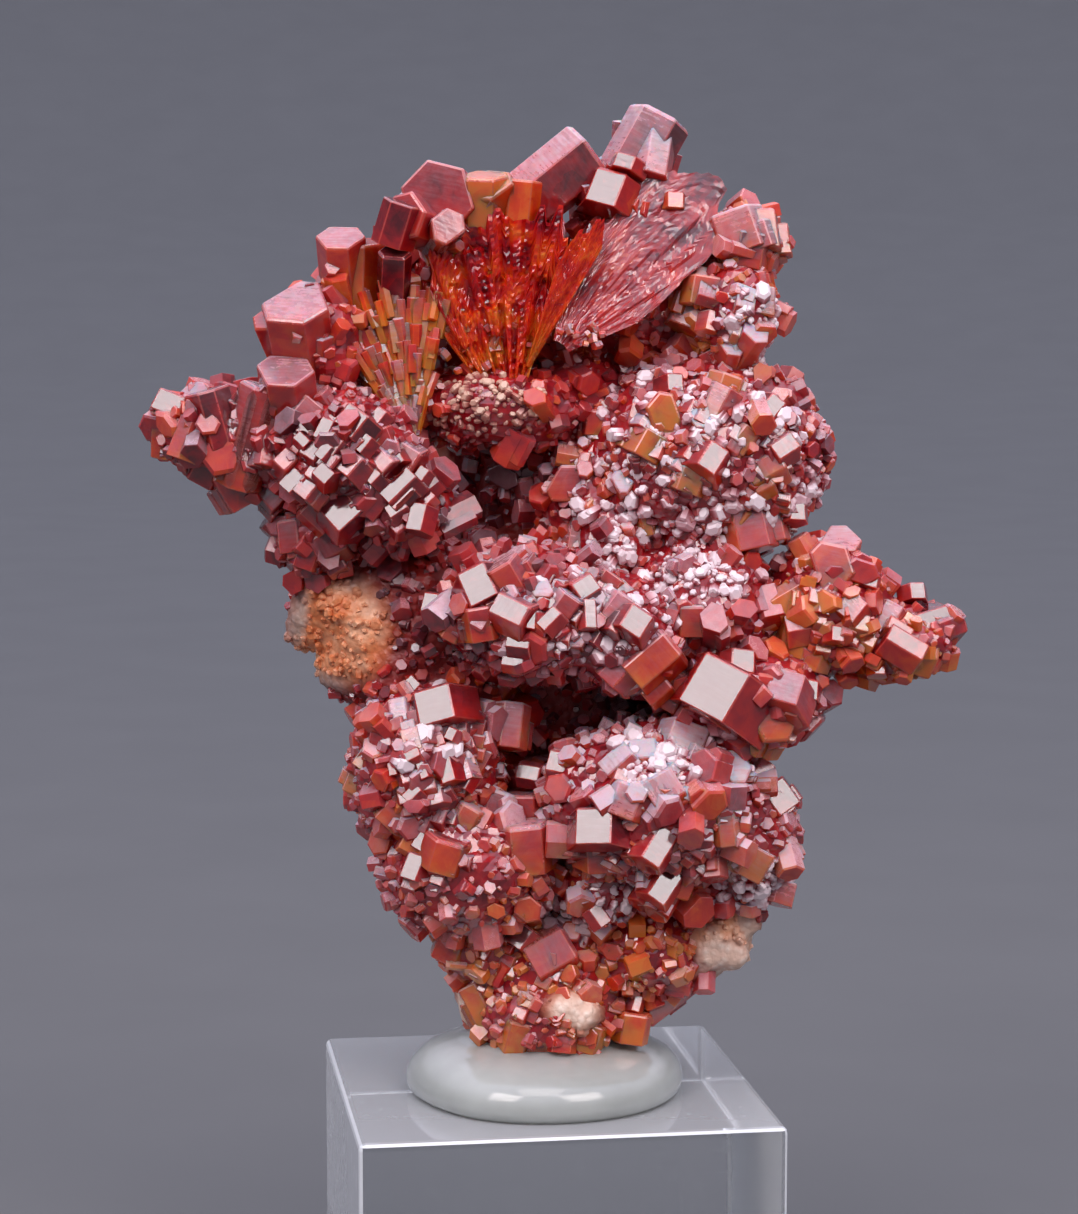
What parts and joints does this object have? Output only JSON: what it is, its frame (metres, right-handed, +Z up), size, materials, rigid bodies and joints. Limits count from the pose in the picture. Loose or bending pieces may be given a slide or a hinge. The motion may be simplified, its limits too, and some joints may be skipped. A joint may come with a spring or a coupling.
{
  "type": "vanadinite on matrix",
  "caption": "Upright cabinet specimen of red vanadinite crystals crusting a lump of pale matrix rock, held by a dab of milky putty on a clear square acrylic display block.",
  "frame": {"origin": "centre of the display block's base, on the surface it stands on", "axes": "+Z up through the specimen, X and Y along the block's sides, the specimen's best face towards -Y"},
  "size_m": [0.0564, 0.0313, 0.0909],
  "materials": {
    "acrylic": "clear polished cast acrylic with bevelled edges",
    "putty": "milky translucent mounting putty, smooth and moist-looking",
    "matrix": "granular cream and orange rock with chalky edges",
    "vanadinite": "glassy red to orange crystal faces, some frosted lilac"
  },
  "bodies": {
    "root": {"acrylic_block": "acrylic", "mounting_putty": "putty", "matrix_rock": "matrix", "fan_sheaf": "vanadinite", "fan_left_rim": "vanadinite", "fan_right_rim": "vanadinite", "left_arm": "vanadinite", "left_shoulder": "vanadinite", "upper_right_druse": "vanadinite", "right_arm": "vanadinite", "central_cluster": "vanadinite", "right_shelf": "vanadinite", "lower_left_cluster": "vanadinite", "lower_right_cluster": "vanadinite", "foot_cluster": "vanadinite", "back_upper_cluster": "vanadinite", "back_lower_cluster": "vanadinite"}
  },
  "joints": []
}
